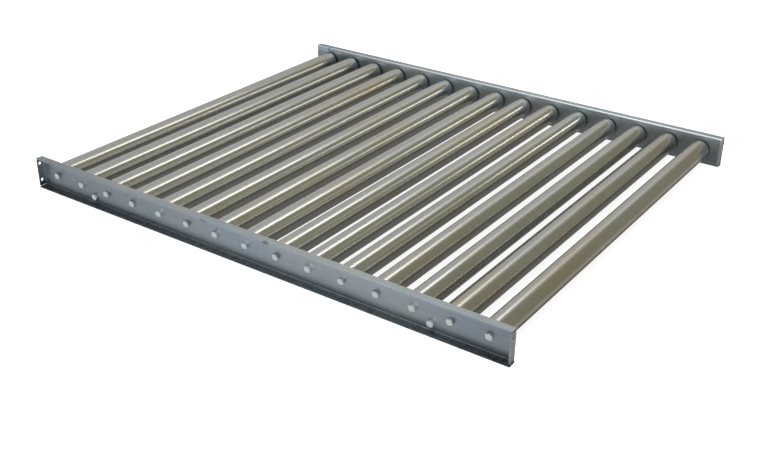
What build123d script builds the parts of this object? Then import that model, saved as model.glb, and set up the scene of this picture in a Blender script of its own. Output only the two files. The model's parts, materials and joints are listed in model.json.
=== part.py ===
from build123d import *
import os

# Gravity roller conveyor: two folded steel side channels carry a bed of free-turning steel rollers.
# Frame: X runs along the bed, Y across it (the far side is +Y), Z is up. The origin is on the floor plane,
# at the middle of the bed, and the channels stand on their lower flanges at Z = 0.

# ---- driving dimensions (mm) ----
ROLLER_COUNT = 15
ROLLER_PITCH = 100.0
CLEAR_WIDTH = 1250.0          # between the two channel webs
END_MARGIN = 62.5             # last roller axis to the outer face of the end tab

CHANNEL_HEIGHT = 90.0
FLANGE_WIDTH = 25.0           # from the roller side of the web to the free edge of the flange
SHEET = 3.0
BEND_RADIUS = 5.0             # outside radius of every fold
TAB_RELIEF = 2.0              # slot between a tab and each flange
TAB_CORNER = 3.0
TAB_HOLE = 9.0                # clears M8
TAB_HOLE_LOW = 22.0
TAB_HOLE_SPACING = 50.0
TAB_HOLE_INSET = 9.0          # from the tab's free edge

TUBE_DIAMETER = 60.0
TUBE_WALL = 2.0
TUBE_END_GAP = 6.0            # tube end to channel web
TUBE_EDGE = 0.8               # rounded outer edge of the cut tube

HOUSING_LENGTH = 18.0         # inside the tube
HOUSING_FLANGE = 4.0          # proud of the tube end
HOUSING_FLANGE_DIAMETER = 58.6
HOUSING_EYE = 25.0            # hole round the spacer bush

AXLE_DIAMETER = 20.0
AXLE_JOURNAL = 17.0
SPACER_DIAMETER = 23.0
SPACER_LENGTH = 6.0

BEARING_OUTSIDE = 40.0
BEARING_WIDTH = 12.0
BALL_DIAMETER = 8.0
BALL_COUNT = 11               # full complement, no cage
BALL_PITCH = 28.5             # diameter of the circle of ball centres
INNER_RING_OUTSIDE = 24.0
OUTER_RING_INSIDE = 33.0
RACE_CLEARANCE = 0.25
PRESS_CLEARANCE = 0.02        # radial, so that pressed pieces meet without cutting into each other

BOLT_THREAD = 12.0            # M12
BOLT_CLEARANCE_HOLE = 13.0
BOLT_ACROSS_FLATS = 18.0
BOLT_HEAD_HEIGHT = 7.5
BOLT_LENGTH = 25.0
BOLT_HEAD_CHAMFER = 1.2
THREAD_GAP = 0.05             # radial, bolt shank to tapped hole
TAPPED_DEPTH = 30.0

TIE_BAR_DIAMETER = 20.0
TIE_BAR_HEIGHT = 22.0
TIE_BAR_OFFSET = 5.5 * ROLLER_PITCH

# ---- worked out ----
HALF_WIDTH = CLEAR_WIDTH / 2
AXLE_HEIGHT = CHANNEL_HEIGHT / 2
BED_SPAN = (ROLLER_COUNT - 1) * ROLLER_PITCH
CHANNEL_LENGTH = BED_SPAN + 2 * END_MARGIN
HALF_LENGTH = CHANNEL_LENGTH / 2
TUBE_LENGTH = CLEAR_WIDTH - 2 * TUBE_END_GAP
ROLLER_X = [index * ROLLER_PITCH - BED_SPAN / 2 for index in range(ROLLER_COUNT)]
TIE_X = [-TIE_BAR_OFFSET, TIE_BAR_OFFSET]
BALL_RADIUS = BALL_DIAMETER / 2
BEARING_START = SPACER_LENGTH
BEARING_END = BEARING_START + BEARING_WIDTH
BEARING_MIDDLE = BEARING_START + BEARING_WIDTH / 2

os.makedirs("parts", exist_ok=True)


def write(part, name):
    part.label = name
    export_step(part, f"parts/{name}.step")


def turned(radius, start, end):
    """One rectangle of a lathe profile: radius out from the axle line, start and end measured from the web."""
    with Locations((0, start)):
        Rectangle(radius, end - start, align=(Align.MIN, Align.MIN))


# ---- side channels ----
def side_channel():
    """The near channel: web at Y = -HALF_WIDTH, flanges and end tabs folded away from the rollers."""
    web_face = -HALF_WIDTH
    flange_edge = web_face - FLANGE_WIDTH
    fold_length = BEND_RADIUS + SHEET
    tab_low = SHEET + TAB_RELIEF
    tab_high = CHANNEL_HEIGHT - SHEET - TAB_RELIEF
    with BuildPart() as channel:
        # folded C section
        with BuildSketch(Plane.YZ.offset(-HALF_LENGTH)):
            with Locations((flange_edge, 0)):
                outside = Rectangle(FLANGE_WIDTH, CHANNEL_HEIGHT, align=(Align.MIN, Align.MIN))
            fillet(outside.vertices().group_by(Axis.X)[-1], BEND_RADIUS)
            with BuildSketch(mode=Mode.PRIVATE) as hollow:
                with Locations((flange_edge, SHEET)):
                    Rectangle(FLANGE_WIDTH - SHEET, CHANNEL_HEIGHT - 2 * SHEET, align=(Align.MIN, Align.MIN))
                fillet(hollow.vertices().group_by(Axis.X)[-1], BEND_RADIUS - SHEET)
            add(hollow.sketch, mode=Mode.SUBTRACT)
        extrude(amount=CHANNEL_LENGTH)
        # the web stops short of each end, where the tab folds out of it
        for side in (-1, 1):
            with BuildSketch(Plane.XY.offset(SHEET)):
                with Locations((side * (HALF_LENGTH - fold_length / 2), web_face - FLANGE_WIDTH / 2)):
                    Rectangle(fold_length, FLANGE_WIDTH)
            extrude(amount=CHANNEL_HEIGHT - 2 * SHEET, mode=Mode.SUBTRACT)
            with BuildSketch(Plane.XY.offset(tab_low)):
                with Locations((side * (HALF_LENGTH - fold_length / 2), web_face - FLANGE_WIDTH / 2)):
                    fold = Rectangle(fold_length, FLANGE_WIDTH)
                fillet(fold.vertices().group_by(Axis.Y)[-1].sort_by(Axis.X)[0 if side < 0 else -1], BEND_RADIUS)
                with BuildSketch(mode=Mode.PRIVATE) as inside:
                    with Locations((side * (HALF_LENGTH - SHEET - BEND_RADIUS / 2),
                                    web_face - SHEET / 2 - FLANGE_WIDTH / 2)):
                        Rectangle(BEND_RADIUS, FLANGE_WIDTH - SHEET)
                    fillet(inside.vertices().group_by(Axis.Y)[-1].sort_by(Axis.X)[0 if side < 0 else -1],
                           BEND_RADIUS - SHEET)
                add(inside.sketch, mode=Mode.SUBTRACT)
            extrude(amount=tab_high - tab_low)
        tab_corners = channel.edges().filter_by(Axis.X).filter_by(
            lambda edge: abs(edge.center().Y - flange_edge) < 0.01 and edge.length < SHEET + 0.01
        )
        fillet(tab_corners, TAB_CORNER)
        # two bolt holes in each tab
        for side in (-1, 1):
            with BuildSketch(Plane.YZ.offset(side * HALF_LENGTH)):
                with Locations(*[(flange_edge + TAB_HOLE_INSET, TAB_HOLE_LOW + step * TAB_HOLE_SPACING)
                                 for step in range(2)]):
                    Circle(TAB_HOLE / 2)
            extrude(amount=-side * SHEET, mode=Mode.SUBTRACT)
        # clearance holes for the axle bolts and the tie-bar bolts
        with BuildSketch(Plane.XZ.offset(HALF_WIDTH)):
            with Locations(*[(x, AXLE_HEIGHT) for x in ROLLER_X], *[(x, TIE_BAR_HEIGHT) for x in TIE_X]):
                Circle(BOLT_CLEARANCE_HOLE / 2)
        extrude(amount=SHEET, mode=Mode.SUBTRACT)
    return channel.part


with BuildPart() as near_side_channel:
    add(side_channel())

with BuildPart() as far_side_channel:
    add(side_channel().mirror(Plane.XZ))

write(near_side_channel.part, "near_side_channel")
write(far_side_channel.part, "far_side_channel")


# ---- hexagon bolts ----
def hexagon_bolt():
    """M12 bolt: the head's bearing face is at the origin, the head towards +Z, the shank towards -Z."""
    with BuildPart() as bolt:
        with BuildSketch(Plane.XY):
            RegularPolygon(radius=BOLT_ACROSS_FLATS / 2, side_count=6, major_radius=False)
        extrude(amount=BOLT_HEAD_HEIGHT)
        corner = BOLT_ACROSS_FLATS * 0.6
        with BuildSketch(Plane.XZ):
            with BuildLine():
                Polyline((0, 0), (corner, 0), (corner, BOLT_HEAD_HEIGHT - BOLT_HEAD_CHAMFER),
                         (BOLT_ACROSS_FLATS * 0.46, BOLT_HEAD_HEIGHT), (0, BOLT_HEAD_HEIGHT), close=True)
            make_face()
        revolve(axis=Axis.Z, mode=Mode.INTERSECT)
        with BuildSketch(Plane.XY):
            Circle(BOLT_THREAD / 2 - THREAD_GAP)
        extrude(amount=-BOLT_LENGTH)
        chamfer(bolt.faces().sort_by(Axis.Z)[0].edges(), 1.0)
    return bolt.part


def bolt_places(side, places):
    """Bolts on the outside of one channel's web; each was left at its own angle when it was tightened."""
    return [Location((x, side * (HALF_WIDTH + SHEET), z), (-90 * side, 0, 0)) * Location((0, 0, 0), (0, 0, angle))
            for x, z, angle in places]


AXLE_BOLTS_NEAR = [(x, AXLE_HEIGHT, 23 * index % 60) for index, x in enumerate(ROLLER_X)]
AXLE_BOLTS_FAR = [(x, AXLE_HEIGHT, 41 * index % 60) for index, x in enumerate(ROLLER_X)]
TIE_BOLTS = [(x, TIE_BAR_HEIGHT, 17 * index + 8) for index, x in enumerate(TIE_X)]

one_bolt = hexagon_bolt()

with BuildPart() as near_axle_bolts:
    with Locations(*bolt_places(-1, AXLE_BOLTS_NEAR)):
        add(one_bolt)

with BuildPart() as far_axle_bolts:
    with Locations(*bolt_places(1, AXLE_BOLTS_FAR)):
        add(one_bolt)

with BuildPart() as tie_bar_bolts:
    with Locations(*bolt_places(-1, TIE_BOLTS), *bolt_places(1, TIE_BOLTS)):
        add(one_bolt)

write(near_axle_bolts.part, "near_axle_bolts")
write(far_axle_bolts.part, "far_axle_bolts")
write(tie_bar_bolts.part, "tie_bar_bolts")


# ---- tie bars ----
def tie_bar(x):
    """Round bar across the frame under the rollers, tapped at both ends."""
    with BuildPart() as bar:
        with BuildSketch(Plane.XZ.offset(HALF_WIDTH)):
            with Locations((x, TIE_BAR_HEIGHT)):
                Circle(TIE_BAR_DIAMETER / 2)
        extrude(amount=-CLEAR_WIDTH)
        for side in (-1, 1):
            with BuildSketch(Plane.XZ.offset(-side * HALF_WIDTH)):
                with Locations((x, TIE_BAR_HEIGHT)):
                    Circle(BOLT_THREAD / 2)
            extrude(amount=side * TAPPED_DEPTH, mode=Mode.SUBTRACT)
    return bar.part


for name, x in zip(("left_tie_bar", "right_tie_bar"), TIE_X):
    with BuildPart() as bar_piece:
        add(tie_bar(x))
    write(bar_piece.part, name)


# ---- pieces of one roller, drawn round the Z axis with Z = 0 at the middle of the roller ----
def near_and_far(profile_side):
    """Lathe profiles are drawn once from a web inwards, then turned at both ends of the roller."""
    return [Location((0, 0, -HALF_WIDTH)), Location((0, 0, HALF_WIDTH), (180, 0, 0))][profile_side]


def lathe_pair(draw):
    """Revolve a profile that draw() sketches in radius and distance from the web, at both roller ends."""
    with BuildPart() as one_end:
        with BuildSketch(Plane.XZ):
            draw()
        revolve(axis=Axis.Z)
    with BuildPart() as pair:
        with Locations(near_and_far(0), near_and_far(1)):
            add(one_end.part)
    return pair.part


def draw_housing():
    """Moulded end housing: a plug in the tube, a dust flange over its end, a seat for the bearing."""
    plug_end = TUBE_END_GAP + HOUSING_LENGTH
    front = TUBE_END_GAP - HOUSING_FLANGE
    turned(TUBE_DIAMETER / 2 - TUBE_WALL - PRESS_CLEARANCE, TUBE_END_GAP, plug_end)
    turned(HOUSING_FLANGE_DIAMETER / 2, front, TUBE_END_GAP)
    with BuildSketch(mode=Mode.PRIVATE) as seat:
        turned(HOUSING_EYE / 2, front, plug_end)
        turned(BEARING_OUTSIDE / 2 + PRESS_CLEARANCE, BEARING_START, plug_end)
    add(seat.sketch, mode=Mode.SUBTRACT)


def draw_outer_ring():
    turned(BEARING_OUTSIDE / 2, BEARING_START, BEARING_END)
    with BuildSketch(mode=Mode.PRIVATE) as race:
        turned(OUTER_RING_INSIDE / 2, BEARING_START, BEARING_END)
        with Locations((BALL_PITCH / 2, BEARING_MIDDLE)):
            Circle(BALL_RADIUS + RACE_CLEARANCE)
    add(race.sketch, mode=Mode.SUBTRACT)


def draw_inner_ring():
    turned(INNER_RING_OUTSIDE / 2, BEARING_START, BEARING_END)
    with BuildSketch(mode=Mode.PRIVATE) as race:
        turned(AXLE_JOURNAL / 2 + PRESS_CLEARANCE, BEARING_START, BEARING_END)
        with Locations((BALL_PITCH / 2, BEARING_MIDDLE)):
            Circle(BALL_RADIUS + RACE_CLEARANCE)
    add(race.sketch, mode=Mode.SUBTRACT)


def draw_spacer():
    turned(SPACER_DIAMETER / 2, 0, SPACER_LENGTH)
    with BuildSketch(mode=Mode.PRIVATE) as bore:
        turned(AXLE_JOURNAL / 2 + PRESS_CLEARANCE, 0, SPACER_LENGTH)
    add(bore.sketch, mode=Mode.SUBTRACT)


def tube():
    with BuildPart() as shell:
        with BuildSketch(Plane.XY.offset(-TUBE_LENGTH / 2)):
            Circle(TUBE_DIAMETER / 2)
            Circle(TUBE_DIAMETER / 2 - TUBE_WALL, mode=Mode.SUBTRACT)
        extrude(amount=TUBE_LENGTH)
        outer_rims = shell.edges().filter_by(GeomType.CIRCLE).group_by(SortBy.RADIUS)[-1]
        fillet(outer_rims, TUBE_EDGE)
    return shell.part


def axle():
    """Shouldered axle, clamped between the webs by a bolt in each tapped end."""
    with BuildPart() as shaft:
        with BuildSketch(Plane.XY.offset(-HALF_WIDTH)):
            Circle(AXLE_JOURNAL / 2)
        extrude(amount=CLEAR_WIDTH)
        with BuildSketch(Plane.XY.offset(BEARING_END - HALF_WIDTH)):
            Circle(AXLE_DIAMETER / 2)
        extrude(amount=CLEAR_WIDTH - 2 * BEARING_END)
        for end in (-1, 1):
            with BuildSketch(Plane.XY.offset(end * HALF_WIDTH)):
                Circle(BOLT_THREAD / 2)
            extrude(amount=-end * TAPPED_DEPTH, mode=Mode.SUBTRACT)
    return shaft.part


def bearings():
    """The outer rings and the balls of both bearings of one roller, each a separate solid."""
    with BuildPart() as balls:
        with Locations(near_and_far(0), near_and_far(1)):
            with Locations((0, 0, BEARING_MIDDLE)):
                with PolarLocations(BALL_PITCH / 2, BALL_COUNT):
                    Sphere(BALL_RADIUS)
    with BuildPart() as both:
        add(lathe_pair(draw_outer_ring))
        add(balls.part)
    return both.part


def roller_place(x):
    """Stand a piece that was drawn round Z on the roller line at x, its axis along Y."""
    return Location((x, 0, AXLE_HEIGHT), (-90, 0, 0))


# ---- fixed pieces inside the rollers ----
one_axle = axle()
one_spacer_pair = lathe_pair(draw_spacer)
one_inner_ring_pair = lathe_pair(draw_inner_ring)

with BuildPart() as roller_axles:
    with Locations(*[roller_place(x) for x in ROLLER_X]):
        add(one_axle)

with BuildPart() as axle_spacers:
    with Locations(*[roller_place(x) for x in ROLLER_X]):
        add(one_spacer_pair)

with BuildPart() as bearing_inner_rings:
    with Locations(*[roller_place(x) for x in ROLLER_X]):
        add(one_inner_ring_pair)

write(roller_axles.part, "roller_axles")
write(axle_spacers.part, "axle_spacers")
write(bearing_inner_rings.part, "bearing_inner_rings")

# ---- turning pieces, one set for each roller ----
TURNING = {"tube": tube(), "housings": lathe_pair(draw_housing), "bearings": bearings()}

for index, x in enumerate(ROLLER_X):
    for kind, shape in TURNING.items():
        with BuildPart() as roller_piece:
            with Locations(roller_place(x)):
                add(shape)
        write(roller_piece.part, f"roller_{index + 1:02d}_{kind}")
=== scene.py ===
import json
import math

import bmesh
import bpy
from bpy.props import FloatProperty, FloatVectorProperty, IntProperty, PointerProperty
from bpy.types import Operator, Panel, PropertyGroup
from mathutils import Matrix, Vector
from mathutils.geometry import delaunay_2d_cdt

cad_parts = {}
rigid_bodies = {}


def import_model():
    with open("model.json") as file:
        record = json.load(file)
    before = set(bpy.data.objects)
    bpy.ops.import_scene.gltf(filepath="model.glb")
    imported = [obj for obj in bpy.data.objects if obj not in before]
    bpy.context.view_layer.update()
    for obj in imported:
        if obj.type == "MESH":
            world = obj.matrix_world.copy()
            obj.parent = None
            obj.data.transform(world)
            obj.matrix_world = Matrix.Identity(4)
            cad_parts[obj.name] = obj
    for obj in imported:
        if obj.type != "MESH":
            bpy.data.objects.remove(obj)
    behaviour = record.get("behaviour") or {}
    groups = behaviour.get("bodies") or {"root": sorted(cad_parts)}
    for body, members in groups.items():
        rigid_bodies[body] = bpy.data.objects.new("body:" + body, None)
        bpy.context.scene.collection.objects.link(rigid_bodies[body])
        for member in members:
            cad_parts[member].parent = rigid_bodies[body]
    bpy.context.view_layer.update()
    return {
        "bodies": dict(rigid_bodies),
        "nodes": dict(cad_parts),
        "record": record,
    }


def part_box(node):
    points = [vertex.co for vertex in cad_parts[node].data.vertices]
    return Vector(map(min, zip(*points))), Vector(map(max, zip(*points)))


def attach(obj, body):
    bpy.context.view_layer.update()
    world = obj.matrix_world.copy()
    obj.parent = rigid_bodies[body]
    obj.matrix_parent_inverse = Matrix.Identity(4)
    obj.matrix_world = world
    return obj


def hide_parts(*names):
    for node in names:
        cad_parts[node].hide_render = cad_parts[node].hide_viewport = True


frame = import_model()

bl_info = {
    "name": "Gravity roller conveyor",
    "version": (1, 0, 0),
    "blender": (4, 5, 0),
    "location": "View3D > Sidebar > Conveyor",
    "description": "Folded side channels, steel rollers and fasteners, built round the conveyor's CAD frame",
    "category": "Object",
}

# ---- what the frame says (metres) ----
ROOT_BODY = "frame"
ROLLERS = sorted(name for name in frame["bodies"] if name.startswith("roller_"))
MOUNTS = {mount["name"]: mount for mount in frame["record"]["mounts"]}
MILLIMETRE = 0.001
HAIR = 1e-6                    # less than this past a fold's edge is rounding, not a bend
TAPPED_DEPTH = 0.030           # of the threaded holes in the tie bars
CROWN = 0.46                   # radius of the flat on a bolt head, in widths across flats


def centre(node):
    low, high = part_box(node)
    return (low + high) / 2


def size(node):
    low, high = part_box(node)
    return high - low


ROLLER_X = {name: centre(f"{name}_tube").x for name in ROLLERS}
ROLLER_PITCH = ROLLER_X["roller_02"] - ROLLER_X["roller_01"]
AXLE_HEIGHT = centre("roller_01_tube").z
TUBE_RADIUS = size("roller_01_tube").x / 2
TUBE_LENGTH = size("roller_01_tube").y
HOUSING_RADIUS = size("roller_01_housings").x / 2
HOUSING_SPAN = size("roller_01_housings").y
HALF_LENGTH = size("near_side_channel").x / 2
CHANNEL_HEIGHT = size("near_side_channel").z
FLANGE_WIDTH = size("near_side_channel").y
HALF_WIDTH = -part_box("near_side_channel")[1].y
TIE_BAR_X = centre("right_tie_bar").x
TIE_BAR_HEIGHT = centre("right_tie_bar").z
TIE_BAR_RADIUS = size("right_tie_bar").x / 2


# ---- sizes and colours that a user may change ----
class ChannelSettings(PropertyGroup):
    sheet: FloatProperty(name="Sheet", description="Thickness of the folded sheet", default=0.003, unit="LENGTH")
    bend_radius: FloatProperty(name="Bend radius", description="Outside radius of every fold",
                               default=0.005, unit="LENGTH")
    edge_round: FloatProperty(name="Edge round", description="Width of the rounded sheet edges",
                              default=0.0004, unit="LENGTH")
    tab_relief: FloatProperty(name="Tab relief", description="Slot between an end tab and a flange",
                              default=0.002, unit="LENGTH")
    tab_corner: FloatProperty(name="Tab corner", description="Corner radius of the end tabs",
                              default=0.003, unit="LENGTH")
    web_hole: FloatProperty(name="Web hole", description="Radius of the bolt holes in the web",
                            default=0.0065, unit="LENGTH")
    colour: FloatVectorProperty(name="Zinc", description="Colour of the plated sheet", subtype="COLOR",
                                default=(0.505, 0.565, 0.60))


class RollerSettings(PropertyGroup):
    wall: FloatProperty(name="Wall", description="Wall thickness of the tubes", default=0.002, unit="LENGTH")
    rim: FloatProperty(name="Rim", description="Radius of the rounded tube ends", default=0.0008, unit="LENGTH")
    around: IntProperty(name="Around", description="Faces round a tube", default=96, min=24, max=256)
    housing_plug: FloatProperty(name="Plug", description="Length of an end housing inside the tube",
                                default=0.018, unit="LENGTH")
    housing_eye: FloatProperty(name="Eye", description="Radius of the hole in an end housing",
                               default=0.0125, unit="LENGTH")
    bearing_seat: FloatProperty(name="Seat", description="Radius of the bearing seat", default=0.02002, unit="LENGTH")
    bearing_depth: FloatProperty(name="Seat depth", description="From the channel web to the bearing",
                                 default=0.006, unit="LENGTH")
    colour: FloatVectorProperty(name="Tube zinc", description="Colour of the plated tubes", subtype="COLOR",
                                default=(0.625, 0.63, 0.605))
    stain: FloatVectorProperty(name="Passivation", description="Colour of the olive-tan patches", subtype="COLOR",
                               default=(0.60, 0.53, 0.40))


class BoltSettings(PropertyGroup):
    across_flats: FloatProperty(name="Across flats", description="Width of the hexagon", default=0.018, unit="LENGTH")
    head: FloatProperty(name="Head", description="Height of the head", default=0.0075, unit="LENGTH")
    thread: FloatProperty(name="Thread", description="Radius of the shank", default=0.00595, unit="LENGTH")
    chamfer: FloatProperty(name="Chamfer", description="Drop of the chamfer at a corner",
                           default=0.0012, unit="LENGTH")
    near_turn: FloatProperty(name="Near turn", description="Angle from one near head to the next",
                             default=math.radians(23), unit="ROTATION")
    far_turn: FloatProperty(name="Far turn", description="Angle from one far head to the next",
                            default=math.radians(41), unit="ROTATION")
    colour: FloatVectorProperty(name="Bolt zinc", description="Colour of the plated bolts", subtype="COLOR",
                                default=(0.88, 0.91, 0.92))


class StageSettings(PropertyGroup):
    floor: FloatVectorProperty(name="Floor", description="Colour of the floor", subtype="COLOR",
                               default=(0.90, 0.90, 0.90))
    key: FloatProperty(name="Key", description="Strength of the soft overhead light", default=3.6, min=0)
    lens: FloatProperty(name="Lens", description="Focal length in millimetres", default=50.0, min=10)


# ---- node trees, written as expressions ----
class Wire:
    """An output socket. Arithmetic on wires adds Math nodes, and the named methods add theirs."""

    def __init__(self, board, socket):
        self.board = board
        self.socket = socket

    def _math(self, operation, *values, **settings):
        return self.board.add("ShaderNodeMath", {"operation": operation, **settings}, dict(enumerate(values)))

    def __add__(self, other):
        return self._math("ADD", self, other)

    def __radd__(self, other):
        return self._math("ADD", other, self)

    def __sub__(self, other):
        return self._math("SUBTRACT", self, other)

    def __rsub__(self, other):
        return self._math("SUBTRACT", other, self)

    def __mul__(self, other):
        return self._math("MULTIPLY", self, other)

    def __rmul__(self, other):
        return self._math("MULTIPLY", other, self)

    def __truediv__(self, other):
        return self._math("DIVIDE", self, other)

    def __rtruediv__(self, other):
        return self._math("DIVIDE", other, self)

    def __abs__(self):
        return self._math("ABSOLUTE", self)

    def rounded(self):
        return self._math("ROUND", self)

    def highest(self, other):
        return self._math("MAXIMUM", self, other)

    def angle_to(self, other):
        return self._math("ARCTAN2", self, other)

    def step(self, low, high):
        """0 below low and 1 above high, smooth between; low may be the larger, which turns it round."""
        return self.board.add("ShaderNodeMapRange", {"interpolation_type": "SMOOTHSTEP"},
                              {"Value": self, "From Min": low, "From Max": high})


class Board:
    """A node tree that is wired up by expressions."""

    def __init__(self, tree):
        self.tree = tree

    def add(self, kind, settings=None, values=None, out=0):
        """One node: its settings first, then its sockets' values or wires. Returns the named output."""
        node = self.tree.nodes.new(kind)
        for name, value in (settings or {}).items():
            setattr(node, name, value)
        for key, value in (values or {}).items():
            if isinstance(value, Wire):
                self.tree.links.new(value.socket, node.inputs[key])
            else:
                node.inputs[key].default_value = value
        return Wire(self, node.outputs[out]) if node.outputs else node

    def mix(self, first, second, factor):
        """Colours from first, at factor 0, to second, at factor 1."""
        return self.add("ShaderNodeMix", {"data_type": "RGBA"}, {0: factor, 6: first, 7: second}, out=2)

    def tint(self, colour, factor):
        """A colour times a grey factor that may be a wire."""
        grey = self.add("ShaderNodeCombineXYZ", values={0: factor, 1: factor, 2: factor})
        colour = colour if isinstance(colour, Wire) else colour[:3]
        return self.add("ShaderNodeVectorMath", {"operation": "MULTIPLY"}, {0: colour, 1: grey})

    def vector(self, x, y, z):
        return self.add("ShaderNodeCombineXYZ", values={0: x, 1: y, 2: z})

    def split(self, vector):
        node = self.add("ShaderNodeSeparateXYZ", values={0: vector}).socket.node
        return [Wire(self, socket) for socket in node.outputs]

    def noise(self, vector, scale, detail=3.0, roughness=0.5):
        return self.add("ShaderNodeTexNoise", {"noise_dimensions": "3D"},
                        {"Vector": vector, "Scale": scale, "Detail": detail, "Roughness": roughness})

    def bump(self, height, distance, strength=1.0):
        return self.add("ShaderNodeBump", values={"Height": height, "Distance": distance, "Strength": strength})


def rgba(colour):
    return (*colour, 1.0)


class Paint(Board):
    """A material with one principled shader, painted in object coordinates."""

    def __init__(self, name, **constants):
        self.material = bpy.data.materials.new(name)
        self.material.use_nodes = True
        super().__init__(self.material.node_tree)
        self.shader = self.tree.nodes["Principled BSDF"]
        self.place = self.add("ShaderNodeTexCoord", out="Object")
        self.x, self.y, self.z = self.split(self.place)
        self.feed(**{name.replace("_", " "): value for name, value in constants.items()})

    def feed(self, **values):
        for name, value in values.items():
            socket = self.shader.inputs[name.replace("_", " ")]
            if isinstance(value, Wire):
                self.tree.links.new(value.socket, socket)
            else:
                socket.default_value = value

    def stretched(self, x, y, z):
        """The object coordinates, each axis at its own frequency."""
        return self.add("ShaderNodeVectorMath", {"operation": "MULTIPLY"}, {0: self.place, 1: (x, y, z)})

    def patch(self, where, reach, ragged=0.5):
        """A soft-edged blot about reach across at a place, its edge broken up by noise."""
        away = self.add("ShaderNodeVectorMath", {"operation": "SUBTRACT"}, {0: self.place, 1: where})
        scaled = self.add("ShaderNodeVectorMath", {"operation": "DIVIDE"}, {0: away, 1: reach})
        distance = self.add("ShaderNodeVectorMath", {"operation": "LENGTH"}, {0: scaled}, out="Value")
        broken = distance + (self.noise(self.place, 90.0, 4.0) - 0.5) * ragged * 2
        return broken.step(1.1, 0.35)


# ---- finishes ----
def sheet_zinc(colour):
    """Plated folded sheet: blue-grey, faintly mottled, rolled lengthwise, worn bright at its free edges, with painted
    sheen and painted shade.
    """
    paint = Paint("channel_zinc", Metallic=1.0)
    cloud = paint.noise(paint.stretched(5, 9, 11), 1.0, 4.0)
    fleck = paint.noise(paint.place, 55.0, 3.0)
    rolled = paint.noise(paint.stretched(3, 420, 420), 1.0, 2.0)
    bands = paint.noise(paint.stretched(2.2, 150, 150), 1.0, 3.0, 0.6)
    runs = paint.noise(paint.stretched(110, 110, 4), 1.0, 2.0)
    cool = Vector(colour)
    warm = Vector((cool.x * 1.04, cool.y * 1.0, cool.z * 0.94))
    violet = Vector((cool.x * 1.02, cool.y * 0.965, cool.z * 1.06))
    ground = paint.mix(rgba(cool), rgba(warm), cloud.step(0.42, 0.62))
    ground = paint.mix(ground, rgba(violet), fleck.step(0.45, 0.7) * 0.6)
    # darker towards both ends of the long channels, and a painted sheen that lightens the top of the webs
    ends = 0.82 + paint.x.step(-0.80, 0.05) * 0.25 - paint.x.step(0.40, 0.85) * 0.30
    web_face = abs(paint.y).step(HALF_WIDTH + 0.0045, HALF_WIDTH + 0.0035)
    # painted highlight: the upper part of each web is painted lighter
    painted_sheen = paint.z.step(0.062, 0.086) * web_face * 0.46
    shade = ends + painted_sheen + (cloud - 0.5) * 0.30 + (fleck - 0.5) * 0.22 + (rolled - 0.5) * 0.10
    shade = shade + (bands - 0.5) * 0.40 + (runs - 0.5) * 0.10
    # bare, brighter metal along the flanges' free edges and the end faces
    edge = abs(paint.y).step(HALF_WIDTH + FLANGE_WIDTH - 0.0012, HALF_WIDTH + FLANGE_WIDTH - 0.0003)
    tip = abs(paint.x).step(HALF_LENGTH - 0.0010, HALF_LENGTH - 0.0002)
    worn = edge.highest(tip) * paint.noise(paint.place, 140.0, 3.0).step(0.35, 0.6)
    shade = shade + worn * 0.18
    # painted shade and grime in the lower corner of the fold, heaviest at the right-hand end, and a few handling marks
    inside = abs(paint.y).step(HALF_WIDTH + 0.0028, HALF_WIDTH + 0.0032)
    # painted shade and dirt: a little stronger towards the left end and most at the right-hand end
    end_shade_and_dirt = 1.05 + paint.x.step(0.9, -0.7) * 0.10 + paint.x.step(0.55, 0.74) * 0.25
    crease = paint.z.step(0.0030, 0.0042) * paint.z.step(0.0085, 0.0060)
    grime_and_shade = paint.z.step(0.018, 0.004) * inside * (0.33 + fleck * 0.3 + runs * 0.4) * end_shade_and_dirt * (1 - crease * 0.6)
    marks = paint.patch((0.066, -0.628, 0.0715), (0.016, 0.02, 0.0035)) * 0.75
    marks = marks.highest(paint.patch((0.086, -0.649, 0.090), (0.010, 0.006, 0.004)) * 0.5)
    marks = marks.highest(paint.patch((-0.142, -0.628, 0.0705), (0.014, 0.02, 0.003)) * 0.45)
    marks = marks.highest(paint.patch((-0.706, 0.630, 0.084), (0.008, 0.015, 0.012)) * 0.4)
    ground = paint.tint(ground, shade)
    # painted shade: the lower corner of the fold is darkened to blue-black
    ground = paint.mix(ground, (0.055, 0.062, 0.075, 1.0), grime_and_shade)
    ground = paint.mix(ground, (0.10, 0.065, 0.05, 1.0), marks)
    rough = 0.40 + (cloud - 0.5) * 0.16 + (bands - 0.5) * 0.20 + grime_and_shade * 0.15 + marks * 0.25
    relief = rolled * 0.35 + fleck * 0.4 + paint.noise(paint.place, 320.0, 2.0) * 0.5
    paint.feed(Base_Color=ground, Roughness=rough, Normal=paint.bump(relief, 0.0001))
    return paint.material


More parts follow.
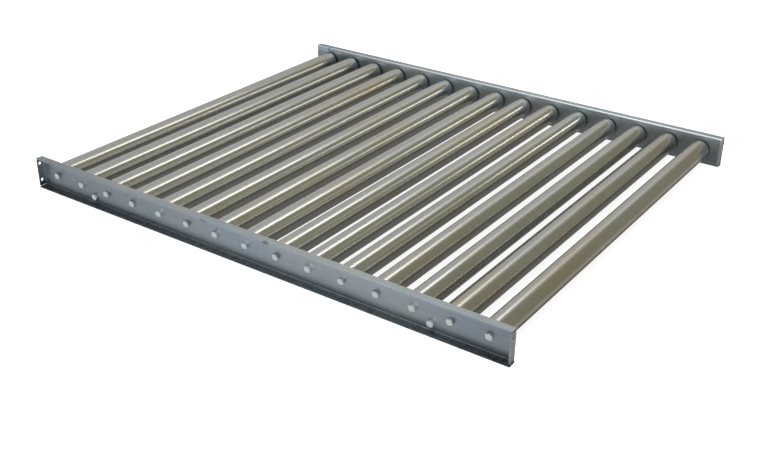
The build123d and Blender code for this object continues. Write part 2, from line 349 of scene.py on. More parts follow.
def tube_zinc(colour, stain):
    """Plated tube: fine turning lines round it, a faint seam along it, olive-tan passivation in patches."""
    paint = Paint("tube_zinc", Metallic=1.0)
    number = (paint.x / ROLLER_PITCH).rounded()
    across = paint.x - number * ROLLER_PITCH
    angle = across.angle_to(paint.z - AXLE_HEIGHT)
    lines = paint.noise(paint.vector(angle * 0.15, paint.y * 600, number * 7.3), 1.0, 2.0)
    coarse = paint.noise(paint.vector(angle * 0.15, paint.y * 200, number * 3.1), 1.0, 3.0, 0.6)
    cloud = paint.noise(paint.vector(angle * 0.35, paint.y * 2.2, number * 5.7), 1.0, 2.0)
    fleck = paint.noise(paint.place, 70.0, 3.0)
    own = paint.add("ShaderNodeTexWhiteNoise", {"noise_dimensions": "1D"}, {"W": number + 0.37})
    # more passivation towards the right-hand far corner, and on the fourth roller's far end
    lean = paint.x.step(0.15, 0.75) * 0.16 + paint.y.step(-0.3, 0.6) * 0.06
    tan = (cloud + lean + (own - 0.5) * 0.10).step(0.52, 0.82)
    tan = tan.highest(paint.patch((-0.40, 0.40, 0.07), (0.06, 0.20, 0.06), 0.2))
    ground = paint.mix(rgba(colour), rgba(stain), tan * 0.60)
    shade = 0.97 + (lines - 0.5) * 0.22 + (coarse - 0.5) * 0.20 + (own - 0.5) * 0.05 + (fleck - 0.5) * 0.06
    seam = abs(angle - (own - 0.5) * 5.0).step(0.035, 0.015) * 0.10
    rim = abs(paint.y).step(TUBE_LENGTH / 2 - 0.0045, TUBE_LENGTH / 2 - 0.0015)
    ground = paint.tint(ground, shade - seam + rim * 0.10 * fleck)
    rough = 0.22 + (lines - 0.5) * 0.04 + (cloud - 0.5) * 0.05 + tan * 0.04 + seam * 0.6 + rim * 0.06
    paint.feed(Base_Color=ground, Roughness=rough, Normal=paint.bump(lines, 0.00001))
    return paint.material


def bolt_zinc(colour):
    """Bright plated bolt: each head a little different, scuffed on its corners."""
    paint = Paint("bolt_zinc", Metallic=1.0)
    fleck = paint.noise(paint.place, 260.0, 4.0)
    own = paint.noise(paint.stretched(8, 1, 25), 1.0, 1.0)
    scuff = paint.noise(paint.stretched(700, 200, 900), 1.0, 2.0)
    ground = paint.tint(rgba(colour), 0.86 + fleck * 0.16 + (own - 0.5) * 0.16)
    ground = paint.mix(ground, (0.36, 0.37, 0.38, 1.0), fleck.step(0.60, 0.78) * 0.5)
    paint.feed(Base_Color=ground, Roughness=0.19 + (fleck - 0.5) * 0.12,
               Normal=paint.bump(fleck * 0.7 + scuff * 0.5, 0.00012))
    return paint.material


def bar_steel():
    """Cold-drawn bar: dark steel, die lines along it."""
    paint = Paint("bar_steel", Metallic=1.0)
    drawn = paint.noise(paint.stretched(600, 4, 600), 1.0, 3.0)
    blot = paint.noise(paint.place, 22.0, 4.0)
    ground = paint.mix((0.30, 0.30, 0.295, 1.0), (0.40, 0.40, 0.41, 1.0), drawn)
    ground = paint.mix(ground, (0.20, 0.16, 0.13, 1.0), blot.step(0.58, 0.75) * 0.45)
    paint.feed(Base_Color=ground, Roughness=0.36 + (blot - 0.5) * 0.25 + (drawn - 0.5) * 0.1,
               Normal=paint.bump(drawn, 0.00008))
    return paint.material


def bearing_steel():
    """Ground and hardened bearing steel, oiled, with fine turning lines across the axle line."""
    paint = Paint("bearing_steel", Metallic=1.0, Coat_Weight=0.3, Coat_Roughness=0.15)
    lines = paint.noise(paint.stretched(60, 1400, 60), 1.0, 2.0)
    oil = paint.noise(paint.place, 45.0, 3.0)
    ground = paint.mix((0.56, 0.56, 0.57, 1.0), (0.47, 0.45, 0.41, 1.0), oil.step(0.45, 0.7) * 0.6)
    paint.feed(Base_Color=ground, Roughness=0.20 + lines * 0.10, Normal=paint.bump(lines, 0.00003))
    return paint.material


def housing_black():
    """Moulded black polyamide, satin, with a fine moulded grain and a little dust."""
    paint = Paint("housing_black", Metallic=0.0, Specular_IOR_Level=0.25)
    grain = paint.noise(paint.place, 900.0, 2.0)
    dust = paint.noise(paint.place, 60.0, 4.0).step(0.5, 0.75)
    ground = paint.mix((0.005, 0.005, 0.006, 1.0), (0.022, 0.022, 0.021, 1.0), dust * 0.5)
    paint.feed(Base_Color=ground, Roughness=0.48 + dust * 0.2 + (grain - 0.5) * 0.15,
               Normal=paint.bump(grain, 0.00006))
    return paint.material


def floor_paint(colour):
    """Plain pale studio floor with a very faint unevenness."""
    paint = Paint("studio_floor", Metallic=0.0)
    uneven = paint.noise(paint.place, 2.5, 3.0)
    pale = paint.tint(rgba(colour), 0.985 + uneven * 0.03)
    paint.feed(Base_Color=paint.tint(pale, 0.33), Roughness=0.75 + uneven * 0.1, Emission_Color=pale,
               Emission_Strength=0.98)
    return paint.material


# ---- geometry trees ----
def new_geometry_tree(name, inputs):
    """A geometry tree with a Geometry input and output and named inputs; returns it, its board and its wires."""
    tree = bpy.data.node_groups.new(name, "GeometryNodeTree")
    tree.interface.new_socket("Geometry", in_out="INPUT", socket_type="NodeSocketGeometry")
    for label, kind in inputs.items():
        tree.interface.new_socket(label, in_out="INPUT", socket_type=kind)
    tree.interface.new_socket("Geometry", in_out="OUTPUT", socket_type="NodeSocketGeometry")
    board = Board(tree)
    entry = tree.nodes.new("NodeGroupInput")
    wires = {socket.name: Wire(board, socket) for socket in entry.outputs if socket.name}
    return tree, board, wires


def close_geometry_tree(board, geometry, material):
    """Realize Instances, Set Material, output."""
    real = board.add("GeometryNodeRealizeInstances", values={"Geometry": geometry})
    painted = board.add("GeometryNodeSetMaterial", values={"Geometry": real, "Material": material})
    board.add("NodeGroupOutput", values={"Geometry": painted})


def lathe_tree():
    """Turns the piece's own outlines, drawn as edges in radius (X) and length (Y), about an axle line."""
    tree, board, wires = new_geometry_tree("lathe", {
        "Path Radius": "NodeSocketFloat", "Around": "NodeSocketInt", "Axle": "NodeSocketVector",
        "Material": "NodeSocketMaterial"})
    outline = board.add("GeometryNodeMeshToCurve", values={"Mesh": wires["Geometry"]})
    path = board.add("GeometryNodeCurvePrimitiveCircle", {"mode": "RADIUS"},
                     {"Resolution": wires["Around"], "Radius": wires["Path Radius"]})
    turned = board.add("GeometryNodeCurveToMesh", values={"Curve": path, "Profile Curve": outline})
    welded = board.add("GeometryNodeMergeByDistance", values={"Geometry": turned, "Distance": 1e-6})
    outward = board.add("GeometryNodeFlipFaces", values={"Mesh": welded})
    placed = board.add("GeometryNodeTransform", values={
        "Geometry": outward, "Translation": wires["Axle"], "Rotation": (math.radians(-90), 0, 0)})
    close_geometry_tree(board, placed, wires["Material"])
    return tree


def bolt_row_tree():
    """Copies the piece's own bolt along a row, each head turned on from the one before."""
    tree, board, wires = new_geometry_tree("bolt_row", {
        "Count": "NodeSocketInt", "First": "NodeSocketVector", "Spacing": "NodeSocketFloat",
        "Facing": "NodeSocketFloat", "Start": "NodeSocketFloat", "Turn": "NodeSocketFloat",
        "Material": "NodeSocketMaterial"})
    step = board.vector(wires["Spacing"], 0.0, 0.0)
    row = board.add("GeometryNodeMeshLine", {"mode": "OFFSET"},
                    {"Count": wires["Count"], "Start Location": wires["First"], "Offset": step})
    spin = board.add("GeometryNodeInputIndex") * wires["Turn"] + wires["Start"]
    turn = board.vector(wires["Facing"], spin, 0.0)
    copies = board.add("GeometryNodeInstanceOnPoints",
                       values={"Points": row, "Instance": wires["Geometry"], "Rotation": turn})
    close_geometry_tree(board, copies, wires["Material"])
    return tree


def show(name, mesh):
    piece = bpy.data.objects.new(name, mesh)
    bpy.context.scene.collection.objects.link(piece)
    return piece


def grow(name, tree, seed_mesh, values):
    """Run a geometry tree on a seed mesh and keep the result as a plain mesh."""
    piece = show(name, seed_mesh)
    modifier = piece.modifiers.new(tree.name, "NODES")
    modifier.node_group = tree
    for item in tree.interface.items_tree:
        if item.in_out == "INPUT" and item.name in values:
            modifier[item.identifier] = values[item.name]
    graph = bpy.context.evaluated_depsgraph_get()
    mesh = bpy.data.meshes.new_from_object(piece.evaluated_get(graph))
    piece.modifiers.remove(modifier)
    piece.data = mesh
    if not mesh.polygons:
        raise RuntimeError(f"{name} came out empty")
    return piece


def harden(piece, degrees=32.0):
    """Smooth shading, with creases where faces meet at more than this angle."""
    piece.data.shade_smooth()
    piece.data.set_sharp_from_angle(angle=math.radians(degrees))


def settle(piece, body, slot, *nodes):
    """The piece rides on a body and stands for CAD nodes, which it hides. The slot is not used."""
    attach(piece, body)
    if nodes:
        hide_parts(*nodes)


def outline_mesh(name, loops):
    """Closed outlines in radius and length, as edges. Each corner is (radius, length, rounding)."""
    mesh = bpy.data.meshes.new(name)
    points, edges = [], []
    for loop in loops:
        first = len(points)
        points += rounded_loop(loop)
        count = len(points) - first
        edges += [(first + index, first + (index + 1) % count) for index in range(count)]
    mesh.from_pydata([(x, y, 0) for x, y in points], edges, [])
    return mesh


def rounded_loop(loop, steps=4, guard=0.0006):
    """Corner points with their arcs; a guard point each side of an arc keeps the flats' shading true."""
    points = []
    for index, (x, y, radius) in enumerate(loop):
        corner = Vector((x, y))
        before = Vector(loop[index - 1][:2]) - corner
        after = Vector(loop[(index + 1) % len(loop)][:2]) - corner
        if radius == 0:
            points.append(corner)
            continue
        half = before.angle(after) / 2
        reach = radius / math.tan(half)
        middle = corner + (before.normalized() + after.normalized()).normalized() * (radius / math.sin(half))
        start = corner + before.normalized() * reach
        end = corner + after.normalized() * reach
        points.append(start + before.normalized() * min(guard, max(0, before.length / 2 - reach)))
        from_middle, to_middle = start - middle, end - middle
        turn = from_middle.angle_signed(to_middle)
        for step in range(steps + 1):
            arm = from_middle.copy()
            arm.rotate(Matrix.Rotation(-turn * step / steps, 2))
            points.append(middle + arm)
        points.append(end + after.normalized() * min(guard, max(0, after.length / 2 - reach)))
    return [tuple(point) for point in points]


# ---- folded channels ----
class FoldedBlank:
    """The channel's flat blank, and the folds that turn it into a channel.

    On the blank u runs along the channel and v across it, from the free edge of the lower flange to that of
    the upper one. Both follow the face that ends up on the roller side and outside of the folds.
    """

    def __init__(self, settings):
        self.radius = settings.bend_radius
        self.arc = self.radius * math.pi / 2
        self.flat = FLANGE_WIDTH - self.radius
        self.web = CHANNEL_HEIGHT - 2 * self.radius
        self.width = 2 * (self.flat + self.arc) + self.web
        self.fold_u = HALF_LENGTH - self.radius
        self.tip_u = self.fold_u + self.arc + self.flat
        self.settings = settings
        self.holes = self.find_holes()

    def v_of_height(self, z):
        return self.flat + self.arc + z - self.radius

    def bend(self, distance):
        """A fold seen from its edge: how far along the sheet's first plane and how far out of it."""
        if distance <= 0:
            return distance, 0.0
        if distance >= self.arc:
            return self.radius, self.radius + distance - self.arc
        turned = distance / self.radius
        return self.radius * math.sin(turned), self.radius * (1 - math.cos(turned))

    def fold(self, u, v):
        """Where a point of the near channel's blank ends up: (x, y, z)."""
        x, outward = abs(u), 0.0
        low = self.flat + self.arc - v
        high = v - self.flat - self.arc - self.web
        if low > HAIR:
            down, outward = self.bend(low)
            z = self.radius - down
        elif high > HAIR:
            up, outward = self.bend(high)
            z = CHANNEL_HEIGHT - self.radius + up
        else:
            z = self.radius + v - self.flat - self.arc
            along, outward = self.bend(abs(u) - self.fold_u)
            x = self.fold_u + along
        return math.copysign(x, u), -HALF_WIDTH - outward, z

    def outline(self):
        """The blank's edge: flanges to full length, relief slots, and a tab at each end."""
        s = self.settings
        slot_u = HALF_LENGTH - self.radius - s.sheet
        strip = self.flat + self.radius * math.acos(1 - s.sheet / self.radius)
        tab = self.v_of_height(s.sheet + s.tab_relief)
        quarter = [(HALF_LENGTH, 0), (HALF_LENGTH, strip), (slot_u, strip), (slot_u, tab)]
        corner = (self.tip_u - s.tab_corner, tab + s.tab_corner)
        for step in range(9):
            angle = -math.pi / 2 + step * math.pi / 16
            quarter.append((corner[0] + s.tab_corner * math.cos(angle), corner[1] + s.tab_corner * math.sin(angle)))
        right = quarter + [(u, self.width - v) for u, v in reversed(quarter)]
        return right + [(-u, v) for u, v in reversed(right)]

    def find_holes(self):
        """(u, v, radius) of every hole: the tabs' bolt holes, and the bolt holes through the web."""
        mount = MOUNTS["near_right_end_tab"]
        spread = mount["dims"]["spacing_y_mm"] * MILLIMETRE / 2
        tab_u = self.tip_u - (HALF_WIDTH + FLANGE_WIDTH - abs(mount["pos_m"][1]))
        found = [(side * tab_u, self.v_of_height(mount["pos_m"][2] + lift), mount["dims"]["hole_r_mm"] * MILLIMETRE)
                 for side in (-1, 1) for lift in (-spread, spread)]
        radius = self.settings.web_hole
        found += [(x, self.v_of_height(AXLE_HEIGHT), radius) for x in ROLLER_X.values()]
        found += [(side * TIE_BAR_X, self.v_of_height(TIE_BAR_HEIGHT), radius) for side in (-1, 1)]
        return found

    def fold_lines(self):
        """Lines to keep as edges: through each bend, just beside it, and across the channel at intervals."""
        steps, guard = 8, 0.001
        across = [place + self.arc * step / steps for place in (self.flat, self.flat + self.arc + self.web)
                  for step in range(steps + 1)]
        across += [self.flat - guard, self.flat + self.arc + guard,
                   self.flat + self.arc + self.web - guard, self.flat + 2 * self.arc + self.web + guard]
        lines = [((-self.tip_u, v), (self.tip_u, v)) for v in across]
        along = [self.fold_u + self.arc * step / steps for step in range(steps + 1)]
        along += [self.fold_u - guard, self.fold_u + self.arc + guard]
        along += [ROLLER_PITCH * (index + 0.5) for index in range(len(ROLLERS) // 2)]
        lines += [((side * u, 0), (side * u, self.width)) for u in along for side in (-1, 1)]
        return lines

    def triangles(self):
        """The blank cut into triangles that respect its outline, holes and fold lines."""
        outline = self.outline()
        points = [Vector(point) for point in outline]
        edges = [(index, (index + 1) % len(outline)) for index in range(len(outline))]
        around = 32
        for u, v, radius in self.holes:
            first = len(points)
            for step in range(around):
                angle = 2 * math.pi * step / around
                points.append(Vector((u + radius * math.cos(angle), v + radius * math.sin(angle))))
            edges += [(first + step, first + (step + 1) % around) for step in range(around)]
        for start, end in self.fold_lines():
            edges.append((len(points), len(points) + 1))
            points += [Vector(start), Vector(end)]
        flat, _, faces, *_ = delaunay_2d_cdt(points, edges, [], 0, 1e-7)
        kept = [face for face in faces if self.is_sheet(sum((flat[index] for index in face), Vector((0, 0))) / 3,
                                                        outline)]
        return flat, kept

    def is_sheet(self, point, outline):
        if any((point - Vector((u, v))).length < radius * 0.99 for u, v, radius in self.holes):
            return False
        inside = False
        for (u0, v0), (u1, v1) in zip(outline, outline[1:] + outline[:1]):
            if (v0 > point.y) != (v1 > point.y) and point.x < u0 + (u1 - u0) * (point.y - v0) / (v1 - v0):
                inside = not inside
        return inside


def channel_mesh(name, blank, side):
    """One folded channel: side -1 for the near one, 1 for the far one, which is its mirror image."""
    flat, faces = blank.triangles()
    build = bmesh.new()
    vertices = []
    for u, v in flat:
        x, y, z = blank.fold(u, v)
        vertices.append(build.verts.new((x, -side * y, z)))
    for face in faces:
        order = face if side > 0 else reversed(face)
        build.faces.new([vertices[index] for index in order])
    loose = [vertex for vertex in build.verts if not vertex.link_faces]
    bmesh.ops.delete(build, geom=loose, context="VERTS")
    mesh = bpy.data.meshes.new(name)
    build.to_mesh(mesh)
    build.free()
    return mesh


def thickened(piece, settings):
    """Give the folded face its sheet thickness, round the sheet's edges and keep the result."""
    solid = piece.modifiers.new("sheet", "SOLIDIFY")
    solid.thickness = settings.sheet
    solid.offset = -1.0
    solid.use_even_offset = True
    solid.use_quality_normals = True
    rounding = piece.modifiers.new("edges", "BEVEL")
    rounding.width = settings.edge_round
    rounding.segments = 2
    rounding.limit_method = "ANGLE"
    rounding.angle_limit = math.radians(60)
    true_flats = piece.modifiers.new("flats", "WEIGHTED_NORMAL")
    true_flats.weight = 100
    graph = bpy.context.evaluated_depsgraph_get()
    piece.data = bpy.data.meshes.new_from_object(piece.evaluated_get(graph))
    piece.modifiers.clear()


# ---- hexagon bolt ----
def bolt_mesh(settings):
    """One bolt standing on Z = 0: washer face, hexagon with its chamfer curves, and the shank below."""
    around = 48
    apothem = settings.across_flats / 2
    crown = settings.across_flats * CROWN
    washer_face = 0.0004
    slope = settings.chamfer / (settings.across_flats * 0.6 - crown)

    def hexagon(angle):
        within = (angle + math.pi / 6) % (math.pi / 3) - math.pi / 6
        return apothem / math.cos(within)

    def round_of(radius, height):
        return [(radius, height)] * around

    angles = [2 * math.pi * step / around for step in range(around)]
    dish = settings.head - 0.0003
    rings = [
        round_of(settings.thread - 0.001, -0.025),
        round_of(settings.thread, -0.024),
        round_of(settings.thread, 0.0),
        round_of(apothem * 0.94, 0.0),
        round_of(apothem * 0.94, washer_face),
        [(hexagon(angle), washer_face) for angle in angles],
        [(hexagon(angle), settings.head - max(0.0, hexagon(angle) - crown) * slope) for angle in angles],
        round_of(crown, settings.head),
        round_of(crown * 0.80, settings.head),
        round_of(crown * 0.72, dish),
    ]
    build = bmesh.new()
    rows = [[build.verts.new((radius * math.cos(angle), radius * math.sin(angle), height))
             for angle, (radius, height) in zip(angles, ring)] for ring in rings]
    for lower, upper in zip(rows, rows[1:]):
        for step in range(around):
            after = (step + 1) % around
            build.faces.new((lower[step], lower[after], upper[after], upper[step]))
    build.faces.new(list(reversed(rows[0])))
    build.faces.new(rows[-1])
    mesh = bpy.data.meshes.new("bolt")
    build.to_mesh(mesh)
    build.free()
    mesh.shade_smooth()
    mesh.set_sharp_from_angle(angle=math.radians(18))
    return mesh


# ---- operators ----
class CONVEYOR_OT_side_channels(Operator):
    """Fold the near and far side channels from their flat blanks"""
    bl_idname = "conveyor.side_channels"
    bl_label = "Side channels"

    def execute(self, context):
        settings = context.scene.conveyor_channel
        blank = FoldedBlank(settings)
        material = sheet_zinc(settings.colour)
        for side, node in ((-1, "near_side_channel"), (1, "far_side_channel")):
            piece = show(f"{node}_folded", channel_mesh(node, blank, side))
            piece.data.shade_smooth()
            thickened(piece, settings)
            piece.data.materials.append(material)
            settle(piece, ROOT_BODY, "channel_zinc", node)
        return {"FINISHED"}


class CONVEYOR_OT_roller_tubes(Operator):
    """Turn one steel tube for every roller"""
    bl_idname = "conveyor.roller_tubes"
    bl_label = "Roller tubes"

    def execute(self, context):
        settings = context.scene.conveyor_roller
        wall, half, rim = settings.wall / 2, TUBE_LENGTH / 2, settings.rim
        loop = [(-wall, -half, rim / 3), (-wall, half, rim / 3), (wall, half, rim), (wall, -half, rim)]
        tree = lathe_tree()
        material = tube_zinc(settings.colour, settings.stain)
        for name in ROLLERS:
            piece = grow(f"{name}_tube_turned", tree, outline_mesh(name, [loop]), {
                "Path Radius": TUBE_RADIUS - wall, "Around": settings.around,
                "Axle": Vector((ROLLER_X[name], 0, AXLE_HEIGHT)), "Material": material})
            harden(piece, 50)
            settle(piece, name, "tube_zinc", f"{name}_tube")
        return {"FINISHED"}


class CONVEYOR_OT_roller_housings(Operator):
    """Turn the moulded housing at each end of every roller"""
    bl_idname = "conveyor.roller_housings"
    bl_label = "Roller housings"

    def execute(self, context):
        settings = context.scene.conveyor_roller
        inside = TUBE_RADIUS - settings.wall - 0.00002
        eye, seat, rim = settings.housing_eye, settings.bearing_seat, HOUSING_RADIUS
        front, plug = HOUSING_SPAN / 2, TUBE_LENGTH / 2 - settings.housing_plug
        shoulder, step = HALF_WIDTH - settings.bearing_depth, TUBE_LENGTH / 2
        path = (rim + eye) / 2
        section = [(eye, front, 0.0004), (rim, front, 0.0009), (rim, step, 0.0003), (inside, step, 0),
                   (inside, plug, 0.0006), (seat, plug, 0.0004), (seat, shoulder, 0), (eye, shoulder, 0.0003)]
        far = [(radius - path, length, rounding) for radius, length, rounding in section]
        near = [(radius, -length, rounding) for radius, length, rounding in reversed(far)]
        tree = lathe_tree()
        material = housing_black()
        for name in ROLLERS:
            piece = grow(f"{name}_housings_turned", tree, outline_mesh(name, [near, far]), {
                "Path Radius": path, "Around": 72,
                "Axle": Vector((ROLLER_X[name], 0, AXLE_HEIGHT)), "Material": material})
            harden(piece)
            settle(piece, name, "housing_black", f"{name}_housings")
        return {"FINISHED"}


class CONVEYOR_OT_bolts(Operator):
    """Set the hexagon bolts of the axles and tie bars into the channel webs"""
    bl_idname = "conveyor.bolts"
    bl_label = "Bolts"

    def execute(self, context):
        settings = context.scene.conveyor_bolt
        sheet = context.scene.conveyor_channel.sheet
        tree = bolt_row_tree()
        material = bolt_zinc(settings.colour)
        first = ROLLER_X[ROLLERS[0]]
        ties = (2, -TIE_BAR_X, 2 * TIE_BAR_X, TIE_BAR_HEIGHT, math.radians(8), math.radians(17))
        axles = (len(ROLLERS), first, ROLLER_PITCH, AXLE_HEIGHT, 0.0)
        rows = [("near_axle_bolts", -1, *axles, settings.near_turn), ("far_axle_bolts", 1, *axles, settings.far_turn),
                ("near_tie_bolts", -1, *ties), ("far_tie_bolts", 1, *ties)]
        tie_halves = []
        for name, side, count, x, spacing, z, start, turn in rows:
            piece = grow(f"{name}_set", tree, bolt_mesh(settings), {
                "Count": count, "First": Vector((x, side * (HALF_WIDTH + sheet), z)), "Spacing": spacing,
                "Facing": math.radians(-90 * side), "Start": side * (start + math.radians(30)),
                "Turn": side * turn, "Material": material})
            if "axle" in name:
                settle(piece, ROOT_BODY, "bolt_zinc", name)
            else:
                tie_halves.append(piece)
        both = bmesh.new()
        for piece in tie_halves:
            both.from_mesh(piece.data)
        both.to_mesh(tie_halves[0].data)
        both.free()
        bpy.data.objects.remove(tie_halves[1])
        tie_halves[0].name = "tie_bar_bolts_set"
        settle(tie_halves[0], ROOT_BODY, "bolt_zinc", "tie_bar_bolts")
        return {"FINISHED"}


class CONVEYOR_OT_tie_bars(Operator):
    """Turn the two tie bars that hold the channels together"""
    bl_idname = "conveyor.tie_bars"
    bl_label = "Tie bars"

    def execute(self, context):
        tapped = context.scene.conveyor_bolt.thread
        half, depth = HALF_WIDTH, TAPPED_DEPTH
        path = TIE_BAR_RADIUS / 2
        section = [(0.0, -half + depth), (0.0, half - depth), (tapped, half - depth), (tapped, half),
                   (TIE_BAR_RADIUS, half), (TIE_BAR_RADIUS, -half), (tapped, -half), (tapped, -half + depth)]
        rounding = {4: 0.0006, 5: 0.0006}
        loop = [(radius - path, length, rounding.get(index, 0)) for index, (radius, length) in enumerate(section)]
        tree = lathe_tree()
        material = bar_steel()
        for node in ("left_tie_bar", "right_tie_bar"):
            piece = grow(f"{node}_turned", tree, outline_mesh(node, [loop]), {
                "Path Radius": path, "Around": 64,
                "Axle": Vector((centre(node).x, 0, TIE_BAR_HEIGHT)), "Material": material})
            harden(piece)
            settle(piece, ROOT_BODY, "bar_steel", node)
        return {"FINISHED"}


class CONVEYOR_OT_axles_and_bearings(Operator):
    """Finish the axles, spacer bushes, bearing rings and balls that stay as the frame has them"""
    bl_idname = "conveyor.axles_and_bearings"
    bl_label = "Axles and bearings"

    def execute(self, context):
        steel, bearing = bar_steel(), bearing_steel()
        finishes = {"roller_axles": steel, "axle_spacers": steel, "bearing_inner_rings": bearing}
        finishes.update({f"{name}_bearings": bearing for name in ROLLERS})
        for node, material in finishes.items():
            part = frame["nodes"][node]
            part.data.materials.clear()
            part.data.materials.append(material)
        return {"FINISHED"}


class CONVEYOR_OT_stage(Operator):
    """Lay the floor, hang the lights and set the camera"""
    bl_idname = "conveyor.stage"
    bl_label = "Stage"

    def execute(self, context):
        settings = context.scene.conveyor_stage
        scene = context.scene
        scene.view_settings.view_transform = "Standard"
        scene.view_settings.look = "None"
        floor = stage_plane("floor", (0, 0, 0), (200, 200), floor_paint(settings.floor))
        floor.visible_glossy = False
        room(scene)
        for lamp in LAMPS:
            hang_lamp(lamp)
        # soft key for the floor and the plastics
        lamp = bpy.data.lights.new("key", "AREA")
        lamp.shape, lamp.size, lamp.size_y = "RECTANGLE", 4.0, 3.0
        lamp.energy = settings.key * 100
        key = bpy.data.objects.new("key", lamp)
        key.location = (-0.4, 0.6, 3.2)
        key.visible_glossy = False
        scene.collection.objects.link(key)
        # the camera looks down the bed from the near right-hand corner
        lens = bpy.data.cameras.new("camera")
        lens.lens, lens.sensor_width = settings.lens, 36.0
        camera = bpy.data.objects.new("camera", lens)
        camera.location = (1.6153, -2.3421, 1.3121)
        facing = Vector((-0.508, 0.728, -0.4603)).to_track_quat("-Z", "Y").to_matrix()
        camera.rotation_euler = (facing @ Matrix.Rotation(math.radians(0.46), 3, "Z")).to_euler()
        scene.collection.objects.link(camera)
        scene.camera = camera
        return {"FINISHED"}


# Strips and panels that only reflections see. Each glows from its least share of its strength, up over rise and
# down over fall, along one axis; with reach, only those pieces see it. The room shows through a clear one.
WHOLE = {"rise": (-9.0, -8.0), "fall": (9.0, 8.0)}
TUBES = [f"{roller}_tube_turned" for roller in ROLLERS]
HEADS = ["near_axle_bolts_set", "far_axle_bolts_set", "tie_bar_bolts_set"]
LAMPS = (
    {"name": "right_lamp", "place": (1.09, 2.0, 0.87), "spread": (0.18, 2.6), "tilt": 55, "strength": 2.7,
     "least": 0.13, "axis": "y", "rise": (1.35, 1.85), "fall": WHOLE["fall"], "clear": True, "reach": TUBES[:11]},
    {"name": "middle_lamp", "place": (0.02, 1.5, 1.97), "spread": (0.48, 1.6), "tilt": 0, "strength": 2.6,
     "least": 0.0, "axis": "y", "rise": (0.5, 0.8), "fall": (2.3, 1.45), "clear": False, "reach": ()},
    {"name": "upper_panel", "place": (-0.385, 2.0, 2.20), "spread": (1.63, 4.0), "tilt": 0, "strength": 0.25,
     "least": 0.0, "axis": "x", "rise": (-1.2, -0.4), "fall": WHOLE["fall"], "clear": True, "reach": ()},
    # the floor under the bed, which the rollers keep the light from
    {"name": "bed_shade", "place": (0, 0, -0.001), "spread": (2 * HALF_LENGTH, 2 * HALF_WIDTH), "tilt": 0,
     "strength": 0.17, "least": 0.0, "axis": "x", **WHOLE, "clear": False, "reach": ()},
    {"name": "head_card", "place": (-1.3, -2.1, -1.07), "spread": (4.2, 1.4), "tilt": 0, "strength": 0.12,
     "least": 0.0, "axis": "x", **WHOLE, "clear": True, "reach": HEADS},
)


def hang_lamp(lamp):
    """One glowing plane, seen by reflections alone, and by all pieces or only those within its reach."""
    face = glow(lamp["name"], lamp["strength"], lamp["least"], lamp["axis"], lamp["rise"], lamp["fall"], lamp["clear"])
    plane = stage_plane(lamp["name"], lamp["place"], lamp["spread"], face, lamp["tilt"])
    plane.visible_camera = plane.visible_diffuse = plane.visible_shadow = False
    if lamp["reach"]:
        lit = bpy.data.collections.new(f"{lamp['name']}_reach")
        for piece in lamp["reach"]:
            lit.objects.link(bpy.data.objects[piece])
        plane.light_linking.receiver_collection = lit


def stage_plane(name, place, spread, material, tilt=0):
    """A rectangle that isn't part of the conveyor, level or tilted about its long side."""
    build = bmesh.new()
    bmesh.ops.create_grid(build, x_segments=1, y_segments=1, size=0.5)
    bmesh.ops.scale(build, vec=(spread[0], spread[1], 1), verts=build.verts)
    bmesh.ops.rotate(build, cent=(0, 0, 0), matrix=Matrix.Rotation(math.radians(tilt), 3, "Y"), verts=build.verts)
    bmesh.ops.translate(build, vec=place, verts=build.verts)
    mesh = bpy.data.meshes.new(name)
    build.to_mesh(mesh)
    build.free()
    mesh.materials.append(material)
    plane = show(name, mesh)
    return plane


def glow(name, strength, least, axis, rise, fall, clear):
    """A lamp's face, from its least up over rise and down over fall; the room shows through a clear one."""
    material = bpy.data.materials.new(name)
    material.use_nodes = True
    material.node_tree.nodes.clear()
    board = Board(material.node_tree)
    along = board.split(board.add("ShaderNodeTexCoord", out="Object"))["xyz".index(axis)]
    colour = board.tint((1.0, 0.985, 0.95), least + along.step(*rise) * along.step(*fall) * (1 - least))
    light = board.add("ShaderNodeEmission", values={"Color": colour, "Strength": strength})
    if clear:
        light = board.add("ShaderNodeAddShader", values={0: light, 1: board.add("ShaderNodeBsdfTransparent")})
    board.add("ShaderNodeOutputMaterial", values={"Surface": light})
    return material


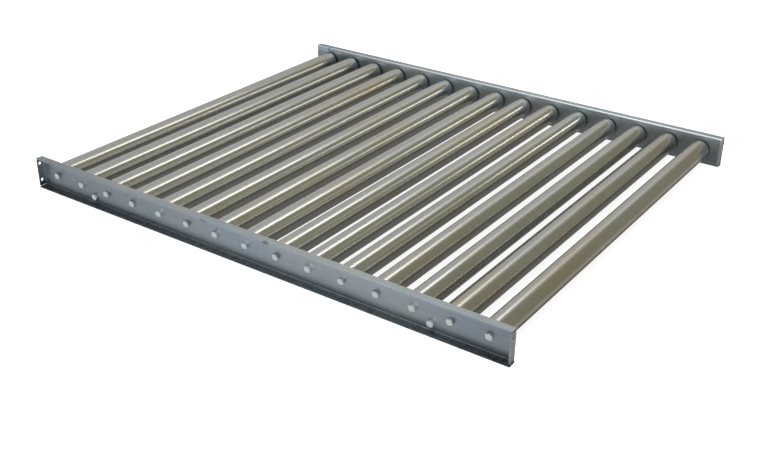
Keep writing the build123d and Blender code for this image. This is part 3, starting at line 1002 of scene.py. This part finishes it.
def room(scene):
    """The studio round the stage: pale low on the left, dimmer and warmer to the right, cool in front."""
    world = bpy.data.worlds.new("studio")
    scene.world = world
    world.use_nodes = True
    world.node_tree.nodes.clear()
    board = Board(world.node_tree)
    toward = board.add("ShaderNodeTexCoord", out="Generated")
    x, y, z = board.split(toward)
    lean = x.angle_to(z)
    right = lean.step(math.radians(-22), math.radians(18))
    behind = board.mix((0.52, 0.52, 0.51, 1), (0.28, 0.274, 0.21, 1), right)
    below = board.mix((0.24, 0.24, 0.225, 1), (0.47, 0.465, 0.40, 1), lean.step(math.radians(100), math.radians(135)))
    behind = board.mix(behind, below, z.step(0.05, -0.25))
    front = board.mix((0.48, 0.51, 0.54, 1), (0.18, 0.19, 0.20, 1), z.step(-0.3, 0.15))
    front = board.mix(front, (1.5, 1.53, 1.53, 1), z.step(0.56, 0.74))
    front = board.mix(front, (0.42, 0.44, 0.45, 1), y.step(-0.84, -0.95) * z.step(-0.25, 0.0))
    colour = board.mix(front, behind, y.step(-0.25, 0.1))
    shade = board.add("ShaderNodeBackground", values={"Color": colour, "Strength": 1.0})
    board.add("ShaderNodeOutputWorld", values={"Surface": shade})


# ---- panel and registration ----
class CONVEYOR_PT_pieces(Panel):
    bl_idname = "CONVEYOR_PT_pieces"
    bl_label = "Conveyor"
    bl_space_type = "VIEW_3D"
    bl_region_type = "UI"
    bl_category = "Conveyor"

    def draw(self, context):
        for operator in OPERATORS:
            self.layout.operator(operator.bl_idname)
        for owner in SETTINGS:
            box = self.layout.box()
            for name in owner.__annotations__:
                box.prop(getattr(context.scene, SETTINGS[owner]), name)


SETTINGS = {ChannelSettings: "conveyor_channel", RollerSettings: "conveyor_roller",
            BoltSettings: "conveyor_bolt", StageSettings: "conveyor_stage"}
OPERATORS = (CONVEYOR_OT_side_channels, CONVEYOR_OT_roller_tubes, CONVEYOR_OT_roller_housings, CONVEYOR_OT_bolts,
             CONVEYOR_OT_tie_bars, CONVEYOR_OT_axles_and_bearings, CONVEYOR_OT_stage)


def register():
    for owner, name in SETTINGS.items():
        bpy.utils.register_class(owner)
        setattr(bpy.types.Scene, name, PointerProperty(type=owner))
    for kind in (*OPERATORS, CONVEYOR_PT_pieces):
        bpy.utils.register_class(kind)


def unregister():
    for kind in (CONVEYOR_PT_pieces, *reversed(OPERATORS)):
        bpy.utils.unregister_class(kind)
    for owner, name in SETTINGS.items():
        delattr(bpy.types.Scene, name)
        bpy.utils.unregister_class(owner)


def main():
    register()
    bpy.ops.conveyor.side_channels()
    bpy.ops.conveyor.roller_tubes()
    bpy.ops.conveyor.roller_housings()
    bpy.ops.conveyor.bolts()
    bpy.ops.conveyor.tie_bars()
    bpy.ops.conveyor.axles_and_bearings()
    bpy.ops.conveyor.stage()


if __name__ == "__main__":
    main()
